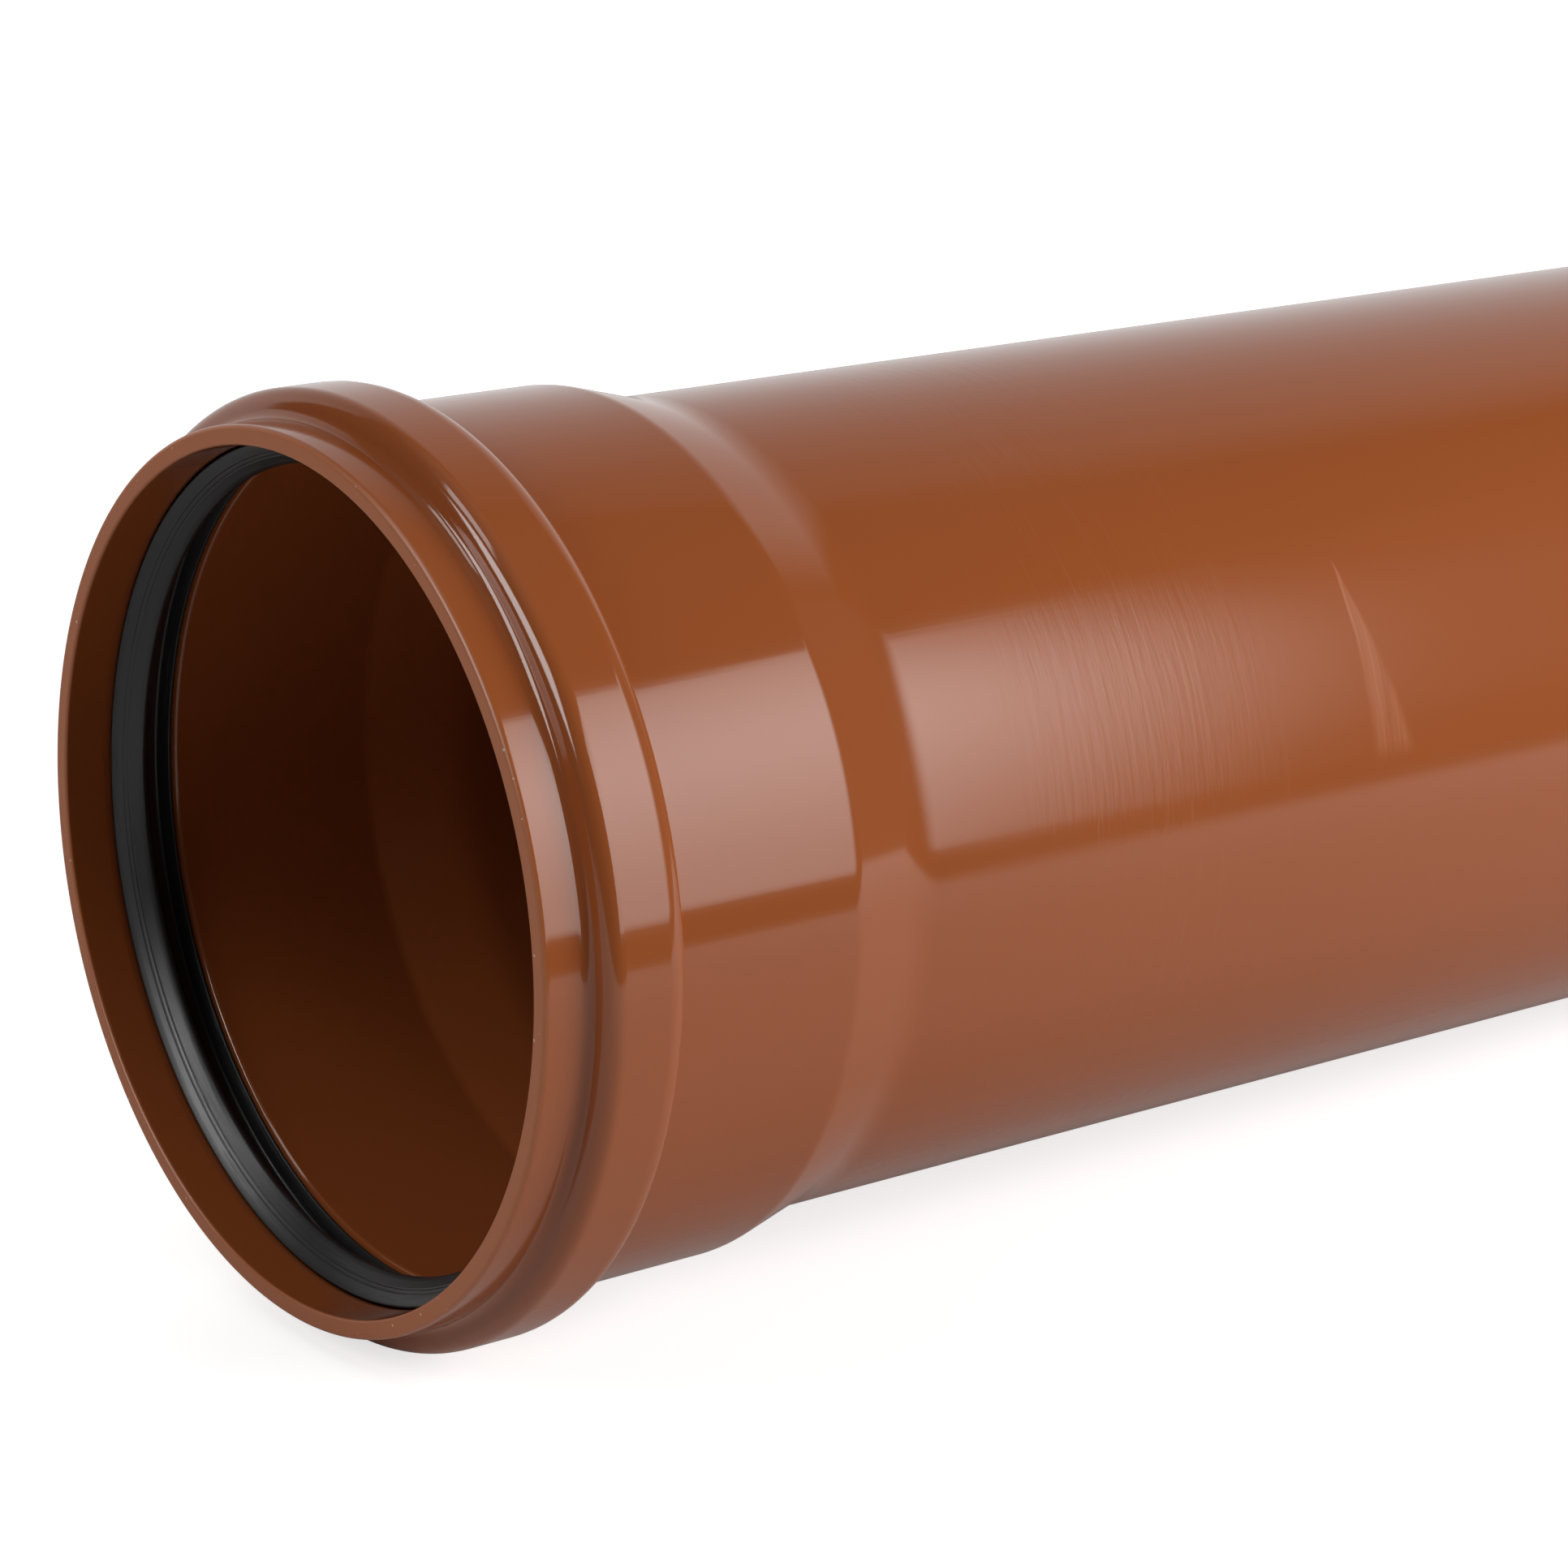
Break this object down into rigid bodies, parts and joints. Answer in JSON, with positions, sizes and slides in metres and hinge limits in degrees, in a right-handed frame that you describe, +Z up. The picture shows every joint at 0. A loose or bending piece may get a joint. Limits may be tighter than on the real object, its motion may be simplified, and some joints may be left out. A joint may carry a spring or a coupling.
{
  "type": "drain pipe",
  "caption": "Length of orange-brown plastic drain pipe with a push-fit socket and rubber lip seal on one end and a bevelled spigot on the other.",
  "frame": {"origin": "on the floor, under the middle of the bounding box", "axes": "+X along the pipe from the socket to the spigot end, +Z up; the pipe lies on the ring of its seal groove and on its spigot end, so its own axis dips about 0.56 degrees towards the spigot"},
  "size_m": [1.0896, 0.1806, 0.1807],
  "materials": {
    "upvc": "smooth extruded PVC-U, satin gloss, orange-brown",
    "rubber": "smooth moulded rubber, satin black"
  },
  "bodies": {
    "root": {"pipe": "upvc", "seal_ring": "rubber"}
  },
  "joints": []
}
